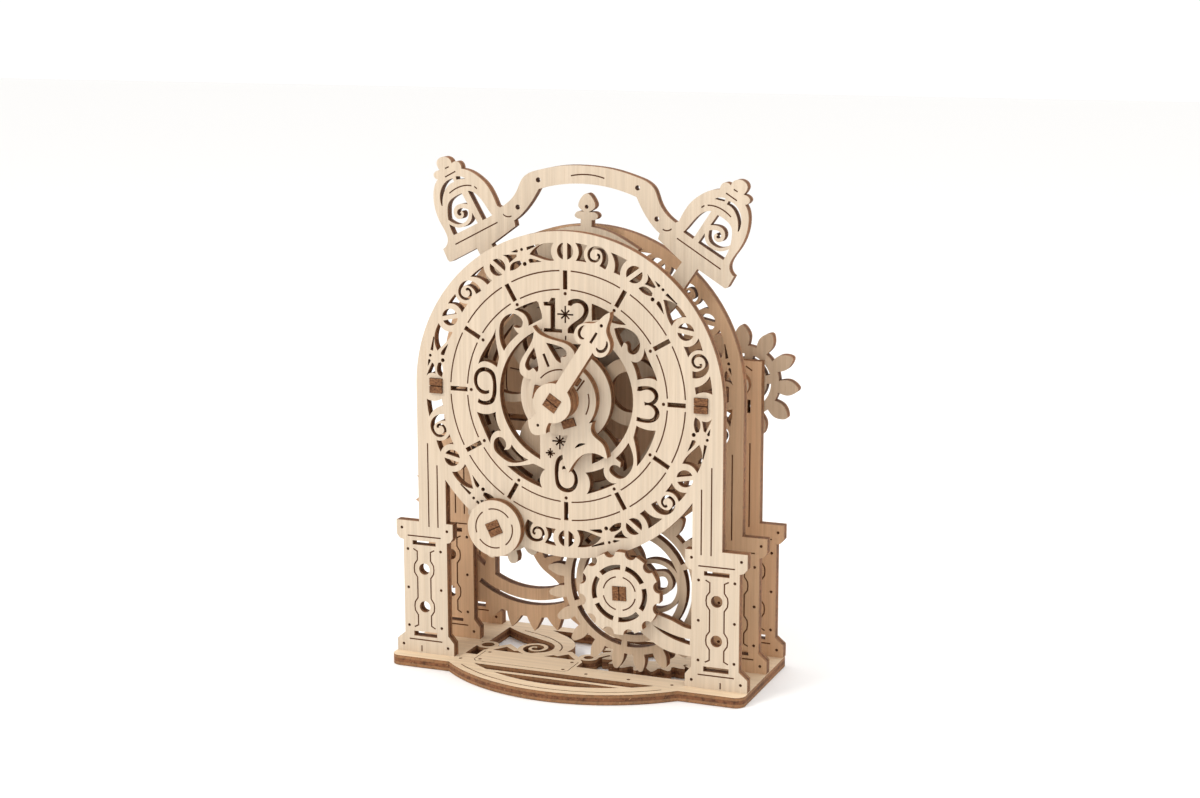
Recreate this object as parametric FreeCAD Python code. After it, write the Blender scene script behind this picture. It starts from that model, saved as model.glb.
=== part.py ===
import FreeCAD, Part
import math, os

# Free-standing plywood alarm-clock model: pierced plates on a base, a gear
# train between them, two hands, a knob, a petal wheel and a swinging plate
# with two bells and a handle.
# Millimetres, +Z up, +Y to the back, y = 0 on the front face of the dial
# plate, z = 0 under the base, x = 0 on the plane through the dial centre.

V = FreeCAD.Vector
os.makedirs("parts", exist_ok=True)

# ---------------------------------------------------------------- dimensions
T = 3.0                 # sheet thickness
GD = 0.35               # depth of an engraved line
GW = 0.42               # width of an engraved line
ZC = 85.65              # height of the dial centre over the table
FLOOR = T - ZC          # top of the base, seen from the dial centre

R_PLATE = 47.9          # arch of the front and middle plates
PIL_IN, PIL_OUT = 38.9, 47.9
CAP_TOP = -41.6

AXLE = 4.2              # square axle, across flats
FIT = 0.05              # clearance of a square hole on each side
BORE = 3.03             # round running hole for the square axle

C = (0.0, 0.0)          # centre axle
K = (-21.6, -40.4)      # knob axle
R = (17.9, -56.0)       # lower right axle
W = (41.4, 0.6)         # rear wheel axle
PEG = 41.3              # spacer pegs at 9 and 3 o'clock

MOD = 2.2905            # module of the main train
Z_RC, Z_W = 20, 11      # teeth of the rear centre gear, petals of the rear wheel
MOD2 = 2 * math.hypot(W[0], W[1]) / (Z_RC + Z_W)   # module of the rear pair
PA_POINTED = 30.0       # pressure angle of the pointed teeth
PA_BLUNT = 20.0         # pressure angle of the long blunt teeth

Y_FRONT = 0.0
Y_GEAR = 6.0
Y_BELL = 11.1
Y_MID = 18.4
Y_GREAT = 23.5
Y_BACK = 35.0
Y_REAR = 38.4

BELL_TILT = 2.3         # rest lean of the bell plate, clockwise from the front
MIN_DIR = 56.8          # minute hand, degrees anticlockwise from +X
HOUR_DIR = 113.0        # hour hand

# ------------------------------------------------------------------- helpers
def v2(p, y=0.0):
    return V(p[0], y, p[1])

def pol(r, a, c=(0, 0)):
    a = math.radians(a)
    return (c[0] + r * math.cos(a), c[1] + r * math.sin(a))

def bs(pts):
    if len(pts) == 2:
        return Part.makeLine(v2(pts[0]), v2(pts[1]))
    c = Part.BSplineCurve()
    c.interpolate([v2(p) for p in pts])
    return c.toShape()

def poly(pts):
    return Part.makePolygon([v2(p) for p in pts] + [v2(pts[0])])

def blob(pts):
    """Closed outline: a third value marks a corner, the rest is smooth."""
    n = len(pts)
    cor = [i for i, p in enumerate(pts) if len(p) > 2]
    q = [(p[0], p[1]) for p in pts]
    if not cor:
        c = Part.BSplineCurve()
        c.interpolate(Points=[v2(p) for p in q], PeriodicFlag=True)
        return Part.Wire([c.toShape()])
    edges = []
    for a, b in zip(cor, cor[1:] + [cor[0] + n]):
        edges.append(bs([q[i % n] for i in range(a, b + 1)]))
    return Part.Wire(edges)

def prism(w, y0, y1):
    s = Part.Face(w).extrude(V(0, y1 - y0, 0))
    if s.Volume < 0:
        s.reverse()
    s.translate(V(0, y0, 0))
    return s

def sheet(w):
    return prism(w, 0, T)

def thru(w):
    return prism(w, -1, T + 1)

def groove(w):
    return prism(w, -1, GD)

def disc(c, r, y0=0.0, y1=T):
    return Part.makeCylinder(r, y1 - y0, V(c[0], y0, c[1]), V(0, 1, 0))

def slab(x0, x1, z0, z1, y0=0.0, y1=T):
    return Part.makeBox(x1 - x0, y1 - y0, z1 - z0, V(x0, y0, z0))

def hole(c, r):
    return disc(c, r, -1, T + 1)

def dot(c, r=0.5, d=0.7):
    return disc(c, r, -1, d)

def rect_w(c, w, h, a=0.0):
    ca, sa = math.cos(math.radians(a)), math.sin(math.radians(a))
    return poly([(c[0] + u * ca - v * sa, c[1] + u * sa + v * ca)
                 for u, v in ((-w/2, -h/2), (w/2, -h/2), (w/2, h/2), (-w/2, h/2))])

def arc_band(r0, r1, a0, a1, c=(0, 0)):
    am = (a0 + a1) / 2
    e = [Part.Arc(v2(pol(r1, a0, c)), v2(pol(r1, am, c)), v2(pol(r1, a1, c))).toShape(),
         Part.makeLine(v2(pol(r1, a1, c)), v2(pol(r0, a1, c))),
         Part.Arc(v2(pol(r0, a1, c)), v2(pol(r0, am, c)), v2(pol(r0, a0, c))).toShape(),
         Part.makeLine(v2(pol(r0, a0, c)), v2(pol(r1, a0, c)))]
    return Part.Wire(e)

def ribbon(pts, w):
    n = len(pts)
    ws = list(w) if isinstance(w, (list, tuple)) else [w] * n
    lf, rt = [], []
    for i in range(n):
        a, b = pts[max(i - 1, 0)], pts[min(i + 1, n - 1)]
        dx, dz = b[0] - a[0], b[1] - a[1]
        m = math.hypot(dx, dz)
        nx, nz = -dz / m, dx / m
        lf.append((pts[i][0] + nx * ws[i] / 2, pts[i][1] + nz * ws[i] / 2))
        rt.append((pts[i][0] - nx * ws[i] / 2, pts[i][1] - nz * ws[i] / 2))
    rt.reverse()
    return Part.Wire([bs(lf), Part.makeLine(v2(lf[-1]), v2(rt[0])), bs(rt),
                      Part.makeLine(v2(rt[-1]), v2(lf[0]))])

def pline(pts, w):
    """Closed outline of a mitred line of constant width."""
    n = len(pts)
    nor = []
    for a, b in zip(pts, pts[1:]):
        m = math.hypot(b[0] - a[0], b[1] - a[1])
        nor.append((-(b[1] - a[1]) / m, (b[0] - a[0]) / m))
    lf, rt = [], []
    for i, p in enumerate(pts):
        a, b = nor[max(i - 1, 0)], nor[min(i, n - 2)]
        k = 1 + a[0] * b[0] + a[1] * b[1]
        ox, oz = (a[0] + b[0]) / k * w / 2, (a[1] + b[1]) / k * w / 2
        lf.append((p[0] + ox, p[1] + oz))
        rt.append((p[0] - ox, p[1] - oz))
    return poly(lf + rt[::-1])

def rot(pts, a, c=(0, 0)):
    """Turn points anticlockwise by a degrees, keeping corner marks."""
    ca, sa = math.cos(math.radians(a)), math.sin(math.radians(a))
    return [(c[0] + (p[0]-c[0])*ca - (p[1]-c[1])*sa, c[1] + (p[0]-c[0])*sa + (p[1]-c[1])*ca) + tuple(p[2:])
            for p in pts]

def mir(pts):
    return [(-p[0], p[1]) + tuple(p[2:]) for p in pts]

def loc(pts, direction, c=(0, 0)):
    """Points (n, v): v along the direction, n to its right."""
    d = math.radians(direction)
    return [(c[0] + p[1]*math.cos(d) + p[0]*math.sin(d),
             c[1] + p[1]*math.sin(d) - p[0]*math.cos(d)) + tuple(p[2:]) for p in pts]

def star_w(c, long_, short, w=0.5, turn=0.0):
    pts = []
    for k in range(8):
        a = 90 + 45 * k + turn
        L = long_ if k % 2 == 0 else short
        pts.append(pol(0.62, a - 22.5, c))
        b = math.degrees(math.atan2(w / 2, L))
        pts.append(pol(L, a - b, c))
        pts.append(pol(L, a + b, c))
    return poly(pts)

def gear(z, m, r_out, r_root, phase, c, thin=0.35, y0=0.0, y1=T, pa=PA_POINTED, crown=0.12):
    """Involute gear; a tooth points at the angle phase (anticlockwise, +X = 0)."""
    pr = math.radians(pa)
    rp = m * z / 2
    rb = rp * math.cos(pr)
    inv = lambda a: math.tan(a) - a
    half_p = math.pi / (2 * z) - thin / (2 * rp)
    def half(r):
        if r <= rb:
            return half_p + inv(pr)
        return half_p + inv(pr) - inv(math.acos(rb / r))
    r_start = max(r_root, rb)
    rs = [r_start + (r_out - r_start) * t for t in (0, 0.3, 0.62, 1.0)]
    edges = []
    pitch = 360.0 / z
    first = None
    last = None
    for k in range(z):
        a = phase + k * pitch
        up = [pol(r, a - math.degrees(half(r)), c) for r in rs]
        dn = [pol(r, a + math.degrees(half(r)), c) for r in reversed(rs)]
        ri = pol(r_root, a - math.degrees(half(r_start)), c)
        ro = pol(r_root, a + math.degrees(half(r_start)), c)
        if last is not None:
            mid = pol(r_root, a - pitch / 2, c)
            edges.append(Part.Arc(v2(last), v2(mid), v2(ri)).toShape())
        else:
            first = ri
        if rb > r_root + 0.02:
            edges.append(Part.makeLine(v2(ri), v2(up[0])))
        edges.append(bs(up))
        edges.append(Part.Arc(v2(up[-1]), v2(pol(r_out + crown, a, c)), v2(dn[0])).toShape())
        edges.append(bs(dn))
        if rb > r_root + 0.02:
            edges.append(Part.makeLine(v2(dn[-1]), v2(ro)))
        last = ro
    edges.append(Part.Arc(v2(last), v2(pol(r_root, phase - pitch / 2, c)), v2(first)).toShape())
    return prism(Part.Wire(edges), y0, y1)

def ring_slots(c, r0, r1, gaps, web):
    """Arc slots between r0 and r1, with webs centred on the listed angles."""
    g = sorted(gaps)
    out = []
    rm = (r0 + r1) / 2
    h = math.degrees(web / 2 / rm)
    for a, b in zip(g, g[1:] + [g[0] + 360]):
        out.append(thru(arc_band(r0, r1, a + h, b - h, c)))
    return out

def annulus(c, r0, r1, y0=-1.0, y1=T + 1):
    return disc(c, r1, y0, y1).cut(disc(c, r0, y0 - 1, y1 + 1))

def one(s):
    """The largest solid of a result."""
    sol = sorted(s.Solids, key=lambda q: -q.Volume)
    return sol[0]

parts = {}

def put(name, s, y0):
    s = one(s) if s.Solids else s
    s.translate(V(0, y0, ZC))
    parts[name] = s

# --------------------------------------------------------------- fret band
def seg_hole(c, r, direction, half):
    """Two half-moons either side of a bar across a round hole."""
    out = []
    h = math.degrees(math.acos(half / r))
    for s in (90, -90):
        a = direction + s
        p0, pm, p1 = pol(r, a - h, c), pol(r, a, c), pol(r, a + h, c)
        out.append(Part.Wire([Part.Arc(v2(p0), v2(pm), v2(p1)).toShape(),
                              Part.makeLine(v2(p1), v2(p0))]))
    return out

BARS = {0: 90, 30: 36, 60: -9, 120: 10, 150: -37, 180: 90, 210: 37, 240: -13, 300: 12, 330: -38}
BAND_BLOBS = [
    ("w1", [(3.2, 44.7, 1), (5.1, 44.5), (6.9, 44.1, 1), (5.8, 41.7), (6.6, 39.3, 1), (4.9, 39.5), (3.3, 39.6, 1), (4.2, 42.1)]),
    ("w2", [(14.0, 42.5, 1), (16.6, 41.6), (19.0, 40.5, 1), (17.4, 38.7), (16.8, 36.1, 1), (14.9, 36.8, 1), (15.2, 39.4)]),
    ("s1", [(25.0, 37.0, 1), (26.2, 35.4, 1), (27.6, 33.3, 1), (27.0, 33.0, 1), (24.2, 34.0, 1), (25.1, 35.3)]),
    ("s2", [(22.4, 32.7, 1), (23.2, 33.2), (26.6, 31.6, 1), (26.4, 30.7, 1), (25.9, 30.7, 1), (24.0, 31.3)]),
    ("s3", [(27.7, 28.6, 1), (28.5, 29.4), (29.1, 28.7), (30.0, 25.7, 1)]),
    ("w4", [(29.8, 29.9, 1), (31.0, 29.8), (36.7, 25.3, 1), (34.5, 24.9), (32.4, 22.6, 1), (31.2, 24.6), (30.4, 27.5)]),
    ("s4", [(30.4, 31.2, 1), (31.1, 31.8, 1), (34.1, 28.9, 1), (33.8, 28.7, 1)]),
    ("s5", [(27.2, 35.2, 1), (28.9, 34.0, 1), (28.8, 33.4, 1), (28.2, 33.4, 1)]),
]
SCROLL = [(11.4, 38.0), (12.2, 39.5), (12.25, 41.5), (11.3, 43.05), (9.5, 43.6), (7.8, 42.9), (7.3, 41.3),
          (7.9, 40.1), (9.2, 39.75), (10.3, 40.4), (10.45, 41.4), (9.8, 41.6)]
SCROLL_W = [2.0, 1.9, 1.7, 1.2, 0.9, 0.85, 0.85, 0.8, 0.75, 0.7, 0.75, 0.9]

def band(flip=False, skip=()):
    f = mir if flip else (lambda q: q)
    out = []
    for k in range(6):
        turn = -60 * k
        for name, pts in BAND_BLOBS:
            if (k, name) not in skip:
                out.append(thru(blob(f(rot(pts, turn)))))
        if (k, "scroll") not in skip:
            out.append(thru(ribbon(f(rot(SCROLL, turn)), SCROLL_W)))
        for c, r in (((26.6, 29.8), 0.6), ((29.7, 32.7), 0.45)):
            if (k, "dots") not in skip:
                out.append(hole(f(rot([c], turn))[0], r))
    for a, d in BARS.items():
        if ("bar", a) in skip:
            continue
        c = pol(42.2, 90 - a)
        if flip:
            c = (-c[0], c[1])
            d = 180 - d
        for w in seg_hole(c, 2.5, d, 0.65):
            out.append(thru(w))
    return out

# ---------------------------------------------------------------- pedestals
def pedestal(s):
    """Solids and cuts of one pedestal; s = 1 right, -1 left."""
    f = (lambda q: q) if s > 0 else mir
    body = [sheet(poly(f([(36.8, CAP_TOP), (55.5, CAP_TOP), (55.5, -46.0), (54.4, -47.3), (53.2, -47.6),
                          (53.2, -76.6), (53.9, -77.2), (55.8, -78.8), (55.8, FLOOR), (36.9, FLOOR),
                          (36.9, -78.8), (38.2, -77.2), (38.8, -76.6), (38.8, -47.6), (37.7, -47.3), (36.8, -46.0)])))]
    x0, x1 = (41.0, 51.0) if s > 0 else (-51.0, -41.0)
    body.append(slab(x0, x1, FLOOR - T, FLOOR + 0.5))
    cuts = []
    for z0, z1 in ((-48.9, -47.6), (-77.5, -76.0)):
        cuts.append(thru(poly(f([(42.5, z0), (50.2, z0), (50.2, z1), (42.5, z1)]))))
    for z in (-56.3, -68.1):
        cuts.append(hole(f([(46.4, z)])[0], 1.75))
    # engraved panel with bulges round the two holes
    for q, o in ((44.3, -1), (48.7, 1)):
        line = [(q + o * 1.3, -50.2), (q, -50.9), (q, -53.6), (q + o * 0.95, -55.0), (q + o * 1.1, -56.3),
                (q + o * 0.95, -57.6), (q, -59.0), (q, -65.4), (q + o * 0.95, -66.8), (q + o * 1.1, -68.1),
                (q + o * 0.95, -69.4), (q, -70.8), (q, -74.0), (q + o * 1.3, -74.7)]
        cuts.append(groove(pline(f(line), GW)))
    for a, b in (((40.8, -46.2), (51.8, -46.2)), ((40.8, -78.6), (51.8, -78.6)), ((47.7, -80.4), (47.7, -82.3))):
        cuts.append(groove(ribbon(f([a, b]), GW)))
    for p in ((38.7, -43.9), (53.7, -43.9), (40.9, -50.4), (51.8, -50.4), (40.9, -62.4), (51.8, -62.4),
              (40.9, -74.3), (51.8, -74.3), (38.9, -80.4), (53.8, -80.4)):
        cuts.append(dot(f([p])[0], 0.45))
    # fluting of the pillar above
    for x, top in ((44.6, -17.3), (41.6, -23.8)):
        cuts.append(groove(ribbon(f([(x, top), (x, -43.0)]), GW)))
    return body, cuts

def pillars():
    return [slab(PIL_IN, PIL_OUT, CAP_TOP - 1, 0), slab(-PIL_OUT, -PIL_IN, CAP_TOP - 1, 0)]

ARM = [(39.6, -65.3, 1), (36.3, -64.9), (33.0, -63.5), (29.0, -62.3), (23.0, -57.0, 1), (15.0, -64.0, 1),
       (24.4, -68.7), (30.7, -72.4), (34.4, -73.2), (39.6, -73.5, 1)]
ARM_SLOT = [(27.0, -65.4, 1), (31.1, -66.9), (35.0, -68.0), (38.4, -68.3, 1), (38.4, -70.1, 1), (35.0, -69.4), (31.1, -68.0)]

# -------------------------------------------------------------- front plate
def front_plate():
    add = [disc(C, R_PLATE)] + pillars()
    cuts = []
    for s in (1, -1):
        b, c = pedestal(s)
        add += b
        cuts += c
    add += [disc(K, 7.0), disc(R, 9.0), sheet(blob(ARM))]
    body = add[0].fuse(add[1:]).removeSplitter()
    cuts += [hole(K, BORE), hole(R, BORE), thru(blob(ARM_SLOT)), hole(C, 10.0)]
    cuts += [thru(rect_w((PEG, 0.4), 4.1, 4.5)), thru(rect_w((-PEG, 0.4), 4.1, 4.5))]
    cuts += band(skip={(3, "w2"), ("bar", 210)})
    # opening between the hub ring and the dial
    ring = annulus(C, 14.1, 20.8)
    ring = ring.cut([slab(-8.1, 8.1, -23, -9, -2, 6),
                     slab(-7.3, 7.3, 15.6, 23, -2, 6)])
    cuts += ring.Solids
    # scrolls around the numerals
    for q in (
        [(-21.8, 18.7, 1), (-24, 14.5), (-26.3, 11), (-27.6, 7.8, 1), (-25.5, 8.7), (-23.3, 8.2), (-21.6, 7.2, 1), (-20.9, 10.3, 1), (-21.6, 13.5), (-22, 16.5)],
        [(-19.3, 12.2, 1), (-20.4, 14.5), (-20.8, 17.5), (-20.3, 20.5), (-18.5, 22.6), (-16.3, 23.3), (-14.3, 22.5), (-13.3, 20.9), (-13.7, 19.6), (-15, 19.2), (-16.3, 19.6, 1), (-15.5, 18.3), (-14.6, 17.6, 1), (-16.9, 15.4), (-18.3, 13.8)],
        [(-15.9, 24.5, 1), (-12.6, 26.1), (-9.0, 27.4, 1), (-8.3, 27, 1), (-7.9, 25.5), (-7.4, 24), (-7.3, 22.3, 1), (-9.4, 21.2), (-11.5, 20, 1), (-11.7, 21.6), (-12.6, 23.1), (-14.1, 24.0)],
        [(8.2, 27.6, 1), (13.5, 25.5), (18.6, 22.1, 1), (15, 22.3), (11, 23), (8.2, 22.6, 1), (8.1, 25.2)],
        [(15, 20.8, 1), (16.5, 21.2), (19.3, 20.9), (21.5, 19.6), (22.8, 17.3), (22.6, 15.2), (20.8, 13.7), (19.2, 14.5), (19.0, 16.0), (18, 17, 1), (17.3, 15.5, 1), (15.9, 18)],
        [(24.2, 15.8, 1), (25, 13.5), (27, 9.5), (28.1, 6.5, 1), (25.5, 7.2), (23.3, 6.8), (22.1, 6.5, 1), (21.4, 9.3), (20.2, 11.8, 1), (22.8, 12), (23.9, 13.8)],
        [(-28.3, -6.5, 1), (-25.5, -7), (-22.2, -6.1, 1), (-22.0, -8.5), (-20.6, -11.7, 1), (-22.5, -12.1), (-23.6, -13.4), (-24, -15.8, 1), (-26, -11.8)],
        [(-23, -15.9), (-22.5, -14.3), (-20.8, -13.5), (-19.3, -14.5), (-19, -16), (-19.7, -17.2, 1), (-18, -16.8), (-17.2, -15.4, 1), (-14.9, -18), (-11.9, -19.6, 1), (-14.5, -20.6), (-18, -20.8), (-21, -19.2), (-22.7, -17.5)],
        [(-18.7, -22, 1), (-14, -21.5), (-10.3, -20.6, 1), (-6.6, -22, 1), (-7.8, -23.5), (-8.2, -26), (-7.5, -27.6, 1), (-13, -25.6)],
        [(6.1, -21.9, 1), (9, -21.2), (11.9, -19.9, 1), (11.8, -21.5), (12.9, -23.5), (15.8, -24.2, 1), (11.5, -26.4), (6.4, -28.3, 1), (7.4, -26), (7.2, -23.6)],
        [(15.4, -16.9, 1), (17.4, -14.8), (19.4, -12, 1), (20.5, -14.5), (20.8, -18.5), (19.4, -21.2), (17, -22.8), (14.6, -22), (13.5, -20.5), (14, -19.3), (15.5, -18.9), (16.8, -19.6, 1), (17, -18, 1)],
        [(21.8, -6.8, 1), (24.5, -7.7), (27.7, -7.8, 1), (25.8, -13), (22, -18.7, 1), (21.9, -15.5), (20.9, -10.4, 1)],
        # numerals
        [(0.8, 26.7, 1), (0.9, 27.9, 1), (3, 28.7), (5.5, 28.3), (7.0, 26.9), (7.2, 25), (6.2, 22.8), (3.3, 19.9, 1), (7.1, 19.9, 1), (7.1, 18.6, 1), (0.7, 18.6, 1), (0.7, 19.8, 1), (3.5, 22.4), (5.5, 24.4), (5.7, 26), (4.8, 27.2), (3.2, 27.4), (1.9, 26.5, 1)],
        [(22, 3.4, 1), (22.2, 4.5, 1), (25, 4.9), (27.6, 4.1), (28.5, 2.2), (28.0, 0.6), (27.0, -0.3, 1), (28.5, -1.6), (28.8, -3.4), (27.5, -5.1), (25, -5.8), (21.8, -5.4, 1), (21.9, -4.2, 1), (24.8, -4.6), (26.8, -4.1), (27.4, -2.6), (26.5, -1.1), (24.3, -0.8, 1), (24.2, 0.4, 1), (26.3, 0.5), (27.3, 1.9), (26.6, 3.3), (24.5, 3.8), (23, 3.3)],
    ):
        cuts.append(thru(blob(q)))
    cuts.append(thru(poly([(-6.8, 27.3), (-5, 27.4), (-4.3, 28.6), (-3.1, 28.6), (-3.1, 19.7), (-1, 19.6), (-1, 18.6),
                           (-6.8, 18.6), (-6.6, 19.7), (-4.6, 19.7), (-4.6, 26.2), (-6.6, 26.2)])))
    nine = [(-24.2, -0.6, 1), (-27.3, -0.6), (-29.0, 2), (-28.8, 4.8), (-27.2, 6.6), (-24.8, 6.9), (-22.6, 5.6),
            (-21.9, 3), (-22.0, -1.2), (-23.0, -3.4), (-25.3, -4.3), (-28, -3.6, 1), (-27.6, -2.4, 1),
            (-25.5, -3.1), (-23.8, -2.3), (-23.1, 0), (-23.1, 3.2), (-24, 5.1), (-25.5, 5.7), (-27.3, 5),
            (-28.0, 3), (-27.6, 1.2), (-26.5, 0.3), (-24.2, 0.3, 1)]
    cuts.append(thru(blob(nine)))
    cuts.append(thru(blob([(-25.4 - p[0], -21.35 - p[1]) + tuple(p[2:]) for p in nine])))
    cuts += [thru(star_w((0, 24), 2.5, 1.8)), thru(star_w((-1.9, -12.9 - 0.4), 2.4, 1.7)), thru(star_w((-4.9, -17.0), 1.5, 1.1))]
    cuts.append(thru(rect_w((0.1, 17.2), 0.45, 1.3, -4)))
    # minute track: bars, dots and engraved arcs
    for h in range(12):
        a = 90 - 30 * h
        cuts.append(thru(rect_w(pol(33.95, a), 5.5, 1.36, a)))
        cuts.append(dot(pol(30.0, a), 0.5))
        for r, a0, a1 in ((36.6, 2.7, 27.3), (31.2, 3.1, 26.9)):
            cuts.append(groove(arc_band(r - GW / 2, r + GW / 2, a - a1, a - a0)))
    return body.cut(cuts)

# ------------------------------------------------------------- middle plate
def middle_plate():
    add = [disc(C, R_PLATE)] + pillars()
    cuts = []
    for s in (1, -1):
        b, c = pedestal(s)
        add += b
        cuts += c
    add += [disc(K, 7.0)]
    body = add[0].fuse(add[1:]).removeSplitter()
    # windows of the inner disc
    for q in (
        [(28.6, 15.0, 1), (30.6, 19.4, 1), (26.5, 25.0), (20.6, 29.8, 1), (18.8, 26.2, 1), (23.4, 22.4)],
        [(-28.0, 17.2, 1), (-29.6, 21.2, 1), (-24.6, 26.7), (-17.5, 31.6, 1), (-16.4, 27.6, 1), (-22.0, 22.6)],
        [(5.2, -29.6, 1), (4.6, -35.2, 1), (12.0, -33.4), (16.4, -31.4, 1), (14.6, -26.6, 1), (10.4, -28.4)],
        [(8.2, -15.2, 1), (12.2, -15.6, 1), (11.6, -18.4, 1), (8.0, -17.2, 1)],
        [(-27.0, -10.4, 1), (-18.6, -10.4, 1), (-19.2, -12.4, 1), (-27.4, -12.4, 1)],
        [(-26.6, -15.4, 1), (-18.2, -15.4, 1), (-17.6, -19.8), (-20.6, -23.4, 1), (-25.4, -19.4)],
        [(-4.6, 29.2, 1), (-4.6, 34.6, 1), (3.0, 34.8), (8.4, 33.6, 1), (7.2, 28.8, 1), (2.0, 29.6)],
    ):
        cuts.append(thru(blob(q)))
    for r, a0, a1 in ((27.0, 154, 192), (21.0, 146, 186), (27.0, -24, 22), (22.4, -30, 14), (16.5, -26, 20), (24.0, 60, 112), (22.0, 232, 284)):
        cuts.append(groove(arc_band(r - GW/2, r + GW/2, a0, a1)))
    for a, r0, r1 in ((8, 17.5, 26.0), (-6, 17.5, 26.0), (172, 17.0, 26.0), (160, 21.5, 26.5), (90, 14.0, 23.0)):
        cuts.append(groove(ribbon([pol(r0, a), pol(r1, a)], GW)))
    cuts += [hole(C, BORE), hole(K, BORE)]
    cuts += [thru(rect_w((PEG, 0.4), 4.1, 4.5)), thru(rect_w((-PEG, 0.4), 4.1, 4.5))]
    cuts += band(flip=True, skip={(2, "scroll"), (2, "w1"), (2, "w2"), ("bar", 150), (2, "s2"), (2, "s1"), (2, "dots"), (2, "s5")})
    return body.cut(cuts)

# --------------------------------------------------------------- back plate
def back_plate():
    add = [slab(PIL_IN, PIL_OUT, CAP_TOP - 1, 7.5), slab(-PIL_OUT, -PIL_IN, CAP_TOP - 1, 7.5)]
    cuts = []
    for s in (1, -1):
        b, c = pedestal(s)
        add += b
        cuts += c
    add += [slab(-PIL_IN - 1, PIL_IN + 1, -4.5, 4.5), disc(C, 9.0), disc(K, 8.0), slab(-40, K[0], -44.0, -36.8)]
    body = add[0].fuse(add[1:]).removeSplitter()
    cuts += [hole(C, BORE), hole(K, BORE), hole(W, BORE)]
    cuts += [thru(rect_w((-PEG, 0.4), 4.1, 4.5))]
    cuts += [thru(poly([(43.6, -8.2), (44.6, -8.2), (44.6, -4.2), (43.6, -4.2)]))]
    cuts += [groove(ribbon([(43.0, 5.9), (45.0, 4.6)], GW))]
    for s in (1, -1):
        cuts.append(thru(poly([(s * 12.5, -1.6), (s * 34.5, -1.6), (s * 35.5, 0), (s * 34.5, 1.6), (s * 12.5, 1.6), (s * 11.5, 0)])))
    return body.cut(cuts)

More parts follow.
